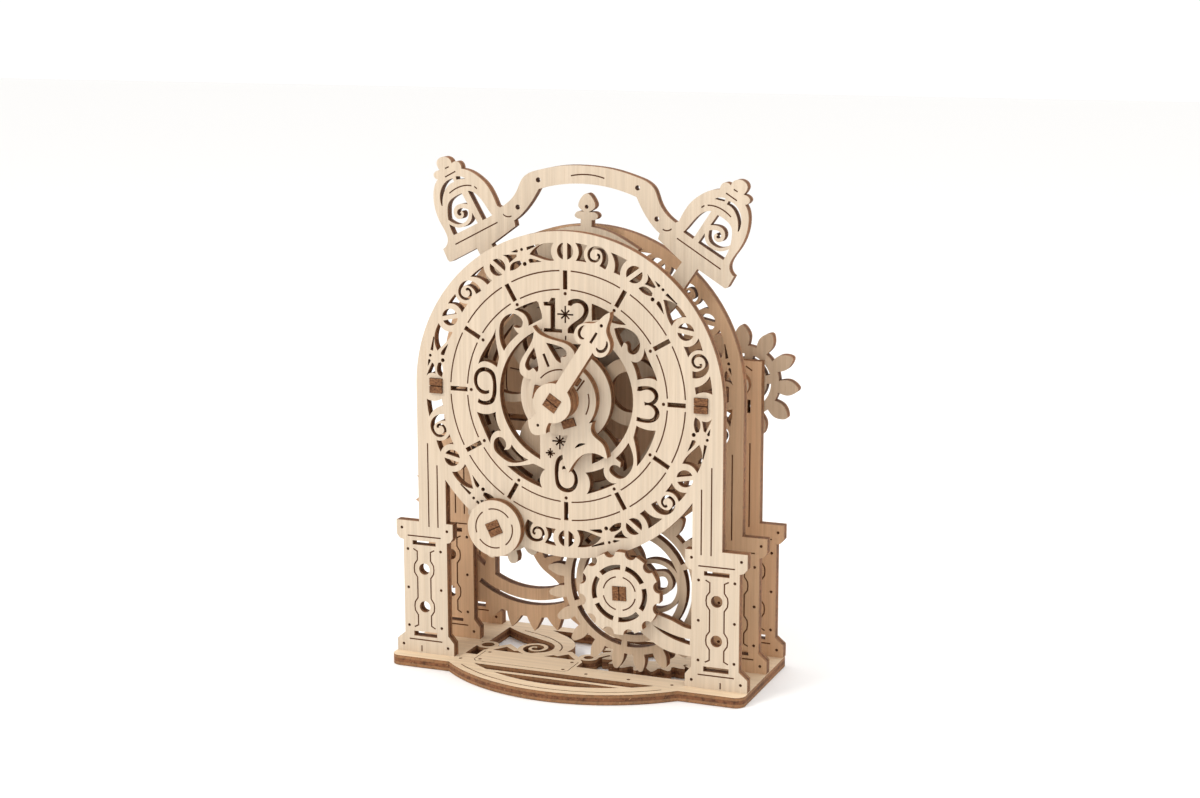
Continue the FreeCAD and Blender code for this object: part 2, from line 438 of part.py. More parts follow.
# --------------------------------------------------------------------- base
def base_plate():
    rc = 3.0
    x1, yf, yb, bow = 56.0, -4.8, 39.2, 36.4
    e = []
    def line(a, b):
        e.append(Part.makeLine(v2(a), v2(b)))
    def corner(a, c, b):
        m = 0.2929
        e.append(Part.Arc(v2(a), v2((c[0] + (a[0]-c[0])*m + (b[0]-c[0])*m, c[1] + (a[1]-c[1])*m + (b[1]-c[1])*m)), v2(b)).toShape())
    e.append(Part.Arc(v2((-bow, yf)), v2((0, -19.2)), v2((bow, yf))).toShape())
    line((bow, yf), (x1 - rc, yf))
    corner((x1 - rc, yf), (x1, yf), (x1, yf + rc))
    line((x1, yf + rc), (x1, yb - rc))
    corner((x1, yb - rc), (x1, yb), (x1 - rc, yb))
    line((x1 - rc, yb), (-x1 + rc, yb))
    corner((-x1 + rc, yb), (-x1, yb), (-x1, yb - rc))
    line((-x1, yb - rc), (-x1, yf + rc))
    corner((-x1, yf + rc), (-x1, yf), (-x1 + rc, yf))
    line((-x1 + rc, yf), (-bow, yf))
    body = sheet(Part.Wire(e))
    cuts = []
    for s in (1, -1):
        for y in (Y_FRONT, Y_MID, Y_BACK):
            x0 = 40.95 if s > 0 else -51.05
            cuts.append(slab(x0, x0 + 10.1, y - 0.05, y + T + 0.05, -1, T + 1))
    # bow: two crescent slots with a bar between
    cy = 34.3
    crescent = disc((0, cy), 47.3, -1, T + 1)
    crescent = crescent.cut(slab(-60, 60, -3.3, 90, -2, 6))
    cuts += crescent.cut(slab(-60, 60, -8.6, -7.0, -2, 6)).Solids
    cuts.append(groove(arc_band(51.1 - GW / 2, 51.1 + GW / 2, 270 - 38.5, 270 + 38.5, (0, cy))))
    for p in ((-34.5, -0.6), (6.3, -0.6), (19.7, -0.6), (33.2, -0.6), (-28.7, 0.9), (-1.7, 0.9), (-28.7, 7.9), (-1.7, 7.9)):
        cuts.append(dot(p, 0.55))
    # blank name tongue, outlined
    for a, b in (((-30.4, 0.4), (-29.4, -0.9)), ((-29.4, -0.9), (-1.0, -0.9)), ((-1.0, -0.9), (0.1, 0.4)),
                 ((0.1, 0.4), (0.1, 8.6)), ((-30.4, 0.4), (-30.4, 8.6))):
        cuts.append(groove(ribbon([a, b], 0.25)))
    # the opening behind it, with its ornament left standing
    opening = thru(poly([(-35.3, 4.5), (-31.4, 4.5), (-31.4, 9.4), (-30.4, 10.3), (0.2, 10.3), (1.1, 9.4), (1.1, 4.5),
                         (36.0, 4.5), (36.0, 35.0), (-35.3, 35.0)]))
    keep = []
    def k(w):
        keep.append(sheet(w))
    # leaf and its scroll
    k(blob([(-35.6, 35.4, 1), (-30.5, 31.0), (-24.5, 27.6), (-18.0, 24.6), (-13.5, 21.8), (-11.9, 17.8), (-13.0, 14.2),
            (-16.0, 11.9), (-17.0, 10.0, 1), (-12.4, 10.0, 1), (-9.0, 13.0), (-6.9, 17.0), (-6.6, 22.0), (-9.0, 27.0), (-14.0, 31.5), (-20.0, 35.4, 1)]))
    k(ribbon([(-12.6, 12.3), (-15.3, 10.9), (-18.4, 11.1), (-20.9, 13.2), (-21.6, 16.4), (-20.3, 19.2), (-17.6, 20.5), (-15.2, 19.4),
              (-14.3, 17.0), (-15.2, 14.8), (-17.2, 14.2), (-18.7, 15.5), (-18.5, 17.2), (-17.2, 17.5)],
             [1.8, 1.8, 1.7, 1.6, 1.5, 1.4, 1.3, 1.25, 1.2, 1.1, 1.05, 1.0, 1.0, 1.3]))
    keep.append(annulus((-32.3, 14.5), 2.0, 3.4, 0, T))
    keep.append(annulus((1.2, 14.0), 1.5, 3.0, 0, T))
    k(poly([(-31.0, 9.6), (-29.2, 9.6), (-26.0, 14.6), (-22.2, 11.6), (-20.6, 12.6), (-26.0, 17.4), (-30.4, 12.6)]))
    k(poly([(-1.0, 9.6), (0.8, 9.6), (-1.2, 12.6), (-5.4, 17.2), (-7.6, 16.6), (-9.8, 12.4), (-8.0, 11.8), (-5.6, 14.6)]))
    k(poly([(-36.0, 17.0), (-33.4, 17.0), (-33.4, 35.4), (-36.0, 35.4)]))
    # half-gear ornament with teeth to the front
    g = gear(20, 1.5, 16.1, 13.3, -90, (18.5, 24.0), 0.3)
    g = g.cut([disc((18.5, 24.0), 6.5, -2, T + 2), slab(0, 40, 31.5, 50, -2, T + 2)])
    keep += g.Solids
    k(poly([(3.6, 14.2), (6.2, 18.6), (4.6, 20.0), (2.2, 16.4)]))
    k(poly([(27.0, 29.0), (37.0, 33.4), (37.0, 36.0), (25.0, 30.6)]))
    k(poly([(2.6, 22.0), (9.6, 23.4), (9.4, 26.0), (-2.0, 36.0), (-5.6, 36.0), (4.4, 25.2)]))
    k(poly([(30.8, 17.2), (37.0, 12.0), (37.0, 15.0), (32.2, 19.6)]))
    body = one(body.cut(cuts + [opening]))
    body = one(body.fuse(keep).removeSplitter())
    # engraved line along the leaf
    body = body.cut(groove(ribbon([(-27.5, 31.6), (-21.0, 29.4), (-14.5, 25.6), (-10.4, 21.0), (-9.4, 16.6)], GW)))
    body = one(body)
    body.rotate(V(0, 0, 0), V(1, 0, 0), -90)
    body.translate(V(0, 0, T - ZC))
    return body

# ---------------------------------------------------------- bell and handle
def bell_plate():
    dome = [(28.2, 51.9, 1), (29.5, 54.5), (31.5, 57.5), (34.5, 60.0), (37.0, 61.3), (40.0, 61.9, 1), (40.2, 62.8), (41.0, 63.8),
            (42.2, 63.9), (43.2, 63.2, 1), (44.5, 64.8), (46.0, 65.0), (47.4, 64.4), (48.1, 63.2), (47.7, 61.8), (47.0, 60.9, 1),
            (48.3, 60.5), (49.0, 59.5), (48.6, 58.6), (47.6, 58.2, 1), (48.5, 56.5), (48.9, 53.0), (48.3, 49.5), (46.5, 45.5),
            (44.3, 42.0), (43.9, 40.5), (44.2, 39.0), (45.4, 37.7, 1), (43.8, 34.6, 1), (43.1, 34.1), (42.3, 34.4, 1), (34.2, 39.0, 1),
            (33.0, 38.0, 1), (29.0, 41.0, 1), (22.2, 46.4, 1), (22.6, 47.9, 1), (25.0, 50.5, 1)]
    stem = [(30.5, 41.6, 1), (24.6, 32.6, 1), (28.6, 29.6, 1), (35.0, 39.8, 1)]
    handle = [(0, 65.6), (8, 65.1), (15, 63.5), (18.5, 62.2), (20.3, 60.7), (22, 57), (24, 54), (26.1, 52.2), (28.2, 51.0, 1)]
    h_in = [(24.0, 47.2, 1), (22.4, 48.2), (19.5, 51), (17, 54.5), (15.2, 57.8, 1), (8, 59.7), (0, 60.4)]
    top = [(-p[0], p[1]) + tuple(p[2:]) for p in reversed(handle[1:])] + handle
    low = h_in + [(-p[0], p[1]) + tuple(p[2:]) for p in reversed(h_in[:-1])]
    add = [sheet(blob([(p[0], p[1], 1) if i in (0, len(top) - 1) else p for i, p in enumerate(top)] + low))]
    for f in ((lambda q: q), mir):
        add.append(sheet(blob(f(dome))))
        add.append(sheet(poly(f([(p[0], p[1]) for p in stem]))))
    # short strip under the finial, arch behind the dial joining the stems, struts and hub
    strip = [(0, 48.2), (4.5, 47.8), (8.0, 46.9), (11.8, 45.3), (16.4, 42.9, 1), (13.2, 35.0, 1), (0, 37.5)]
    add.append(sheet(blob([(0, 48.2, 1)] + strip[1:-1] + [(0, 37.0, 1)])))
    add.append(sheet(blob([(p[0], p[1]) + tuple(p[2:]) for p in mir([(0, 48.2, 1)] + strip[1:-1] + [(0, 37.0, 1)])])))
    add.append(sheet(arc_band(31.0, 38.0, 44, 136)))
    for a in (48.5, 131.5):
        add.append(sheet(rect_w(pol(26.0, a), 36.0, 6.0, a)))
    add.append(disc(C, 9.0))
    # finial in the middle
    add.append(sheet(blob([(-2.6, 54.0), (-2.0, 56.0), (0, 57.7), (2.0, 56.0), (2.6, 54.0), (1.3, 52.7), (0, 52.2), (-1.3, 52.7)])))
    add.append(sheet(blob([(-3.6, 51.3), (-3.1, 52.1), (0, 52.3), (3.1, 52.1), (3.6, 51.3), (3.1, 50.5), (0, 50.3), (-3.1, 50.5)])))
    add.append(slab(-1.7, 1.7, 46.5, 52.0))
    body = add[0].fuse(add[1:]).removeSplitter()
    body = one(body)
    cuts = [hole(C, BORE), dot((0, 53.85), 0.6), hole((0, 53.9), 0.55)]
    for f in ((lambda q: q), mir):
        for p in ((15.4, 60.45), (21.6, 52.05)):
            cuts.append(hole(f([p])[0], 0.75))
        cuts.append(thru(blob(f([(29.7, 49.0, 1), (33.2, 53.2), (36.0, 55.3), (37.8, 55.6, 1), (32.7, 47.3, 1)]))))
        win = thru(blob(f([(39.7, 54.7, 1), (42.0, 53.5), (43.9, 51.5), (44.2, 49.0), (43.9, 46.5), (42.0, 42.1, 1), (34.3, 46.3, 1), (37.2, 50.9, 1)])))
        curl = thru(ribbon(f([(35.9, 50.3), (37.0, 50.75), (38.3, 51.0), (39.8, 50.95), (41.0, 50.4), (41.6, 49.4), (41.5, 48.4), (40.9, 47.7),
                              (40.1, 47.55), (39.45, 47.95), (39.3, 48.7), (39.9, 49.15)]),
                           [1.7, 1.5, 1.4, 1.3, 1.25, 1.15, 1.1, 1.1, 1.0, 0.85, 0.75, 0.8]))
        tail = thru(ribbon(f([(36.9, 50.5), (36.75, 49.4), (36.75, 48.2), (37.05, 47.1), (37.8, 46.1), (39.0, 45.35), (40.5, 44.95), (42.2, 45.2),
                              (44.6, 46.4)]), [1.2, 1.15, 1.1, 1.1, 1.05, 1.05, 1.0, 0.95, 1.0]))
        cuts += win.cut([curl, tail]).Solids
        cuts.append(thru(ribbon(f([(42.5, 58.35), (44.4, 57.35), (45.8, 55.3), (46.3, 52.9), (46.0, 50.5)]), [1.15, 1.3, 1.3, 0.95, 0.35])))
        cuts.append(thru(blob(f([(38.6, 59.1, 1), (40.0, 59.6), (41.8, 59.5, 1), (41.6, 58.6, 1)]))))
        for q in ([(27.9, 47.1), (41.4, 39.4)], [(36.6, 57.15), (38.6, 57.1), (41.0, 56.3), (43.7, 54.4)], [(34.8, 56.4), (35.7, 57.0)],
                  [(41.9, 61.0), (45.2, 59.1)], [(44.1, 62.2), (45.3, 61.6)], [(23.5, 49.3), (25.0, 49.0), (26.2, 49.6)]):
            cuts.append(groove(ribbon(f(q), 0.4)))
    cuts.append(groove(ribbon([(-5.2, 62.4), (0, 63.1), (5.2, 62.4)], 0.4)))
    body = one(body.cut(cuts))
    body.rotate(V(0, 0, 0), V(0, 1, 0), BELL_TILT)
    return body

# --------------------------------------------------------------- the train
PH_KP = 171.0                              # a tooth of the knob pinion
PH_GREAT = -88.5                           # a tooth of the great wheel

def nearest(phase, pitch, target):
    return phase + pitch * round((target - phase) / pitch)

KC = math.degrees(math.atan2(C[1] - K[1], C[0] - K[0]))
CR = math.degrees(math.atan2(R[1] - C[1], R[0] - C[0]))
CW = math.degrees(math.atan2(W[1] - C[1], W[0] - C[0]))

d = nearest(PH_KP, 36.0, KC) - KC
PH_HOUR = KC + 180 - d * 10 / 30 + 6.0     # tooth of the hour wheel
d = nearest(PH_GREAT, 11.25, KC) - KC
PH_CP = KC + 180 - d * 32 / 8 + 22.5       # tooth of the centre pinion
d = nearest(PH_HOUR, 12.0, CR) - CR
PH_RG = CR + 180 - d * 30 / 21 + 180 / 21  # tooth of the lower right wheel
PH_W = -4.8                                # a petal of the rear wheel
d = nearest(PH_W, 360.0 / Z_W, CW + 180) - (CW + 180)
PH_RC = CW - d * Z_W / Z_RC + 180.0 / Z_RC   # tooth of the rear centre gear

SQ_C, SQ_K, SQ_R, SQ_W = MIN_DIR, 26.0, 2.0, 0.0

def sq_hole(c, a):
    return thru(rect_w(c, AXLE + 2 * FIT, AXLE + 2 * FIT, a))

SLIT = 0.36                                # saw slit in the end of each pin

def axle(c, a, y0, y1, slit=0):
    s = prism(rect_w(c, AXLE, AXLE, a), y0, y1)
    s = s.cut([prism(rect_w(c, AXLE + 1, SLIT, a + slit), y0 - 1, y0 + 0.6),
               prism(rect_w(c, AXLE + 1, SLIT, a + slit), y1 - 0.6, y1 + 1)])
    return s

def washer(c, a, r, y0, y1):
    return disc(c, r, y0, y1).cut(prism(rect_w(c, AXLE + 2 * FIT, AXLE + 2 * FIT, a), y0 - 1, y1 + 1))

def knob():
    s = disc(K, 8.5)
    cuts = [sq_hole(K, SQ_K)]
    for k in range(4):
        cuts.append(groove(arc_band(5.9 - GW/2, 5.9 + GW/2, 90*k + 38, 90*k + 107, K)))
    return s.cut(cuts)

def small_gear():
    s = disc(R, 12.4)
    cuts = [sq_hole(R, SQ_R)]
    for k in range(12):
        a = 90 + 30 * k + 14
        cuts.append(hole(pol(12.55, a, R), 1.75))
    cuts += ring_slots(R, 7.1, 8.6, [82 + 60*k for k in range(6)], 1.6)
    for k in range(4):
        cuts.append(groove(arc_band(5.0 - GW/2, 5.0 + GW/2, 90*k + 12, 90*k + 78, R)))
    return s.cut(cuts)

def large_gear():
    s = gear(21, MOD, 26.0, 21.2, PH_RG, R, 0.35, pa=PA_BLUNT, crown=0.4)
    s = s.cut(annulus(R, 7.2, 15.2))
    sp = []
    for k in range(3):
        a = 4 + 120 * k
        c = pol(7.6, a, R)
        sp.append(annulus(c, 6.8, 8.1, 0, T))
        hook = [(-3.0, 2.4), (-1.0, 3.2), (1.1, 3.7), (3.3, 3.7), (4.6, 2.0), (4.2, -0.3), (2.4, -1.7), (0.6, -1.9)]
        sp.append(sheet(ribbon(rot([(c[0] + p[0], c[1] + p[1]) for p in hook], a - 4, c), [2.2, 1.9, 1.7, 1.6, 1.5, 1.5, 1.5, 1.7])))
    sp.append(annulus(R, 6.0, 8.2, 0, T))
    s = s.fuse(sp).removeSplitter()
    cuts = [sq_hole(R, SQ_R)] + ring_slots(R, 17.3, 19.0, [23.4 + 60*k for k in range(6)], 1.8)
    return s.cut(cuts)

def great_wheel():
    s = gear(32, MOD, 39.0, 34.8, PH_GREAT, K, 0.35)
    s = s.cut(annulus(K, 9.5, 25.6))
    sp = []
    for k in range(6):
        a = -127 + 60 * k
        def at(q):
            return rot([(K[0] + p[0], K[1] + p[1]) + tuple(p[2:]) for p in q], a, K)
        sp.append(sheet(ribbon(at([(8.5, -3.0), (13.0, -3.6), (18.5, -2.6), (23.0, 0.2), (26.6, 1.8)]), [4.6, 3.2, 2.8, 3.0, 4.6])))
        sp.append(sheet(poly(at([(16.0, -2.0), (21.4, -0.4), (16.6, 4.4)]))))
    s = s.fuse(sp).removeSplitter()
    cuts = [sq_hole(K, SQ_K)] + ring_slots(K, 29.3, 30.9, [-127 + 60*k for k in range(6)], 2.2)
    for k in range(6):
        a = -127 + 60 * k
        cuts.append(groove(arc_band(7.4 - GW/2, 7.4 + GW/2, a + 8, a + 52, K)))
    return s.cut(cuts)

def hour_wheel():
    s = gear(30, MOD, 35.9, 32.0, PH_HOUR, C, 0.35, pa=PA_BLUNT)
    s = s.cut(annulus(C, 10.5, 27.0))
    sp = []
    for a in (5, 125, 245):
        c = pol(17.6, a)
        sp.append(annulus(c, 6.0, 10.0, 0, T) if a != 245 else disc(c, 10.0))
        for b in (a + 60,):
            sp.append(sheet(ribbon([pol(9.5, b - 8), pol(14.0, b + 2), pol(20.5, b + 3), pol(28.0, b - 6)], [3.4, 2.4, 2.4, 3.6])))
    s = s.fuse(sp).removeSplitter()
    cuts = [hole(C, BORE)] + hour_pin_holes()
    cuts += ring_slots(C, 28.6, 30.0, [5 + 40*k for k in range(9)], 2.0)
    return s.cut(cuts)

PINS = (-71.0, 56.0, 169.0)

def hour_pin_holes():
    return [thru(rect_w(pol(7.4, a), 2.4 + 2*FIT, 4.0 + 2*FIT, a)) for a in PINS]

def hour_hand():
    prof = [(0, 22.4), (1.1, 19.5), (3.3, 17.4), (5.9, 15.6), (7.7, 14.2), (8.9, 12.3), (9.1, 10.9), (8.5, 9.8), (6.7, 8.3)]
    left = [(-p[0], p[1]) for p in reversed(prof[1:])]
    shape = [(prof[0][0], prof[0][1], 1)] + prof[1:-1] + [(prof[-1][0], prof[-1][1], 1), (-6.7, 8.3, 1)] + left[1:]
    moon = [(1.9, -8.4, 1), (9.6, -6.2, 1), (10.25, -10.35), (12.75, -12.35), (13.85, -14.85), (14.15, -16.35, 1), (13.45, -16.35, 1), (11.25, -15.35),
            (9.25, -15.15), (6.75, -15.85), (4.45, -17.85), (3.05, -19.85), (2.15, -21.55, 1), (0.85, -19.35), (0.35, -16.85), (0.55, -14.35),
            (1.35, -12.35)]
    s = disc(C, 10.7).fuse([sheet(blob(loc(shape, HOUR_DIR))), sheet(blob(moon))]).removeSplitter()
    s = one(s)
    cuts = [hole(C, BORE)] + hour_pin_holes()
    for m in (1, -1):
        hh = [(m*2.0, 16.6, 1), (m*2.3, 14.6), (m*3.0, 10.9, 1), (m*4.2, 9.9), (m*4.7, 11.1), (m*6.2, 10.9), (m*6.9, 12.3), (m*6.0, 13.8), (m*4.0, 15.4)]
        cuts.append(thru(blob(loc(hh, HOUR_DIR))))
    cuts.append(thru(poly(loc([(-0.4, 9.9), (0.4, 9.9), (0.4, 13.9), (-0.4, 13.9)], HOUR_DIR))))
    cuts.append(groove(arc_band(8.5 - GW/2, 8.5 + GW/2, HOUR_DIR - 26, HOUR_DIR + 26)))
    cuts.append(groove(arc_band(8.6 - GW/2, 8.6 + GW/2, -28, 14)))
    cuts.append(groove(poly([(5.04, 2.55), (7.40, 5.76), (7.00, 6.06), (4.64, 2.85)])))
    cuts.append(thru(blob([(4.1, -14.2, 1), (5.3, -12.8), (7.6, -12.6, 1), (5.7, -13.5)])))
    return s.cut(cuts)

def minute_hand():
    head = [(0, 32.3, 1), (1.2, 29.5), (2.0, 27.3), (3.2, 26.2), (5.0, 24.8), (5.8, 22.5), (5.1, 20.4), (3.3, 19.4), (2.0, 19.8, 1)]
    left = [(-p[0], p[1]) + tuple(p[2:]) for p in reversed(head[1:])]
    tail = [(-2.4, -3.0, 1), (-2.35, -5.6), (-2.6, -7.2), (-3.3, -8.5, 1), (-1.6, -10.4), (0, -11.1), (1.6, -10.4), (3.3, -8.5, 1),
            (2.6, -7.2), (2.35, -5.6), (2.4, -3.0, 1)]
    s = disc(C, 5.8).fuse([sheet(blob(loc(head + left, MIN_DIR))),
                           sheet(poly(loc([(-2.05, 0), (2.05, 0), (2.05, 20.5), (-2.05, 20.5)], MIN_DIR))),
                           sheet(blob(loc(tail, MIN_DIR)))]).removeSplitter()
    s = one(s)
    cuts = [sq_hole(C, SQ_C), hole(loc([(0, 27.7)], MIN_DIR)[0], 0.5), hole(loc([(0, -8.0)], MIN_DIR)[0], 0.45)]
    cuts.append(thru(poly(loc([(-0.4, 21.6), (0.4, 21.6), (0.4, 25.2), (-0.4, 25.2)], MIN_DIR))))
    for m in (1, -1):
        cuts.append(thru(ribbon(loc([(m*3.7, 25.0), (m*4.5, 23.6), (m*4.3, 22.0), (m*3.2, 21.2), (m*2.2, 21.6)], MIN_DIR), [0.3, 0.8, 0.9, 0.8, 0.4])))
    return s.cut(cuts)

def rear_centre_gear():
    s = gear(Z_RC, MOD2, 28.2, 23.9, PH_RC, C, 1.9, pa=PA_BLUNT)
    s = s.cut(annulus(C, 9.0, 20.5))
    s = s.fuse([sheet(rect_w(pol(14.5, a), 14.0, 5.0, a)) for a in (0, 60, 120, 180, 240, 300)]).removeSplitter()
    return s.cut([sq_hole(C, SQ_C)])

def rear_wheel():
    s = disc(W, 10.9)
    pet = []
    for k in range(Z_W):
        a = PH_W + 360.0 * k / Z_W
        q = [(9.6, 0, 1), (10.4, -1.5), (12.0, -2.15), (13.6, -2.3), (15.2, -1.75), (16.5, -0.75, 1), (16.85, 0), (16.5, 0.75, 1),
             (15.2, 1.75), (13.6, 2.3), (12.0, 2.15), (10.4, 1.5)]
        pet.append(sheet(blob(rot([(W[0] + p[0], W[1] + p[1]) + tuple(p[2:]) for p in q], a, W))))
    s = s.fuse(pet).removeSplitter()
    cuts = [sq_hole(W, SQ_W)] + ring_slots(W, 7.1, 8.4, [8 + 72*k for k in range(5)], 2.6)
    return s.cut(cuts)

# ---------------------------------------------------------------- assembly
b = base_plate()
b.translate(V(0, 0, ZC))
parts["base_plate"] = b
put("front_plate", front_plate(), Y_FRONT)
put("middle_plate", middle_plate(), Y_MID)
put("back_plate", back_plate(), Y_BACK)
put("right_peg", prism(rect_w((PEG, 0.4), 4.0, 4.4), -0.7, 21.4).cut(prism(rect_w((PEG, 0.4), 5.0, SLIT), -2, -0.1)), 0)
put("left_peg", prism(rect_w((-PEG, 0.4), 4.0, 4.4), -0.7, 38.3).cut(prism(rect_w((-PEG, 0.4), 5.0, SLIT), -2, -0.1)), 0)

put("bell_handle_plate", bell_plate(), Y_BELL)

put("knob", knob(), -3.4)
put("knob_axle", axle(K, SQ_K, -3.7, 40.3), 0)
put("knob_pinion", gear(10, MOD, 12.7, 9.3, PH_KP, K, 0.35, pa=PA_BLUNT, crown=0.3).cut(sq_hole(K, SQ_K)), Y_GEAR)
put("great_wheel", great_wheel(), Y_GREAT)
put("knob_washer_front", washer(K, SQ_K, 5.0, 3.3, 5.7), 0)
put("knob_washer_mid", washer(K, SQ_K, 5.5, 21.7, 23.5), 0)
put("knob_end_cap", washer(K, SQ_K, 4.5, 38.3, 40.3), 0)

put("small_gear", small_gear(), -3.4)
put("right_axle", axle(R, SQ_R, -3.7, 11.4, 90), 0)
put("large_gear", large_gear(), Y_GEAR)
put("right_washer", washer(R, SQ_R, 6.0, 3.3, 5.7), 0)
put("right_end_cap", washer(R, SQ_R, 5.0, 9.3, 11.1), 0)

put("minute_hand", minute_hand(), -10.2)
put("minute_washer_front", washer(C, SQ_C, 5.6, -7.1, -3.6), 0)
put("centre_axle", axle(C, SQ_C, -10.4, 43.6, 90), 0)
put("minute_washer_inner", washer(C, SQ_C, 6.0, 9.3, 10.8), 0)
put("minute_washer_mid", washer(C, SQ_C, 6.0, 14.4, 18.1), 0)
put("centre_pinion", gear(8, MOD, 10.6, 6.1, PH_CP, C, 0.35).cut(sq_hole(C, SQ_C)), Y_GREAT)
put("rear_centre_gear", rear_centre_gear(), Y_REAR)
put("centre_end_cap", washer(C, SQ_C, 4.5, 41.5, 43.4), 0)

put("hour_hand", hour_hand(), -3.3)
jd = disc(C, 9.93).cut([hole(C, BORE)] + hour_pin_holes())
put("hour_journal_disc", jd, Y_FRONT)
put("hour_spacer_disc", disc(C, 9.3, 0, 2.7).cut([hole(C, BORE)] + hour_pin_holes()), 3.15)
put("hour_wheel", hour_wheel(), Y_GEAR)
for i, a in enumerate(PINS):
    put("hour_pin_%d" % (i + 1), prism(rect_w(pol(7.4, a), 2.4, 4.0, a), -4.0, 9.0), 0)

put("rear_wheel", rear_wheel(), Y_REAR)
put("rear_axle", axle(W, SQ_W, 31.5, 43.6), 0)
put("rear_washer", washer(W, SQ_W, 3.5, 32.0, 34.7), 0)
put("rear_end_cap", washer(W, SQ_W, 4.5, 41.5, 43.4), 0)

for name, s in parts.items():
    if not s.isValid() or s.ShapeType != "Solid":
        print("check", name, s.isValid(), s.ShapeType)
    s.exportStep("parts/%s.step" % name)
print(len(parts), "parts", "total mm3 %.0f" % sum(s.Volume for s in parts.values()))
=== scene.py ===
import math
import bpy
from mathutils import Matrix, Vector


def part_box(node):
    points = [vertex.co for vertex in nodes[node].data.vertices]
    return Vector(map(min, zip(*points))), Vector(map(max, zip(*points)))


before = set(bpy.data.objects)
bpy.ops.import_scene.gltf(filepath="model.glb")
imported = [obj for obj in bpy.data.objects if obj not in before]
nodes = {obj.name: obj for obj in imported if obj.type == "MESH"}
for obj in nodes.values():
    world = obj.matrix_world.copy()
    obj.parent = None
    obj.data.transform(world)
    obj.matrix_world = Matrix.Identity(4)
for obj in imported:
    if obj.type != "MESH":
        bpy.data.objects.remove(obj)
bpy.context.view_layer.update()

MM = 0.001
T = 3.0 * MM
ZC = 85.65 * MM


# ------------------------------------------------------------------ materials
class Net:
    """Small helper around one material's node tree."""

    def __init__(self, name):
        self.mat = bpy.data.materials.new(name)
        self.mat.use_nodes = True
        self.t = self.mat.node_tree
        self.t.nodes.clear()
        self.out = self.t.nodes.new("ShaderNodeOutputMaterial")
        self.bsdf = self.t.nodes.new("ShaderNodeBsdfPrincipled")
        self.t.links.new(self.bsdf.outputs[0], self.out.inputs[0])
        self.tc = self.t.nodes.new("ShaderNodeTexCoord")

    def link(self, a, b):
        self.t.links.new(a, b)

    def val(self, v, sock):
        if hasattr(v, "node"):
            self.link(v, sock)
        else:
            sock.default_value = v

    def math(self, op, a, b=0.0, c=None, clamp=False):
        n = self.t.nodes.new("ShaderNodeMath")
        n.operation = op
        n.use_clamp = clamp
        self.val(a, n.inputs[0])
        self.val(b, n.inputs[1])
        if c is not None:
            self.val(c, n.inputs[2])
        return n.outputs[0]

    def vmul(self, v, s, rot=(0, 0, 0), loc=(0, 0, 0)):
        n = self.t.nodes.new("ShaderNodeMapping")
        n.inputs["Scale"].default_value = s
        n.inputs["Rotation"].default_value = rot
        n.inputs["Location"].default_value = loc
        self.link(v, n.inputs["Vector"])
        return n.outputs[0]

    def sep(self, v):
        n = self.t.nodes.new("ShaderNodeSeparateXYZ")
        self.link(v, n.inputs[0])
        return n.outputs

    def noise(self, v, scale, detail=2.0, rough=0.5, dist=0.0):
        n = self.t.nodes.new("ShaderNodeTexNoise")
        n.inputs["Scale"].default_value = scale
        n.inputs["Detail"].default_value = detail
        n.inputs["Roughness"].default_value = rough
        n.inputs["Distortion"].default_value = dist
        self.link(v, n.inputs["Vector"])
        return n.outputs[0]

    def remap(self, v, a, b, c=0.0, d=1.0, smooth=False):
        n = self.t.nodes.new("ShaderNodeMapRange")
        if smooth:
            n.interpolation_type = "SMOOTHSTEP"
        self.link(v, n.inputs["Value"])
        n.inputs["From Min"].default_value = a
        n.inputs["From Max"].default_value = b
        n.inputs["To Min"].default_value = c
        n.inputs["To Max"].default_value = d
        return n.outputs[0]

    def mix(self, f, a, b, mode="MIX"):
        n = self.t.nodes.new("ShaderNodeMix")
        n.data_type = "RGBA"
        n.blend_type = mode
        self.val(f, n.inputs["Factor"])
        for v, s in ((a, n.inputs[6]), (b, n.inputs[7])):
            if hasattr(v, "node"):
                self.link(v, s)
            else:
                s.default_value = (*v, 1.0)
        return n.outputs[2]


def srgb(r, g, b):
    f = lambda c: c / 12.92 if c <= 0.04045 else ((c + 0.055) / 1.055) ** 2.4
    return (f(r / 255), f(g / 255), f(b / 255))


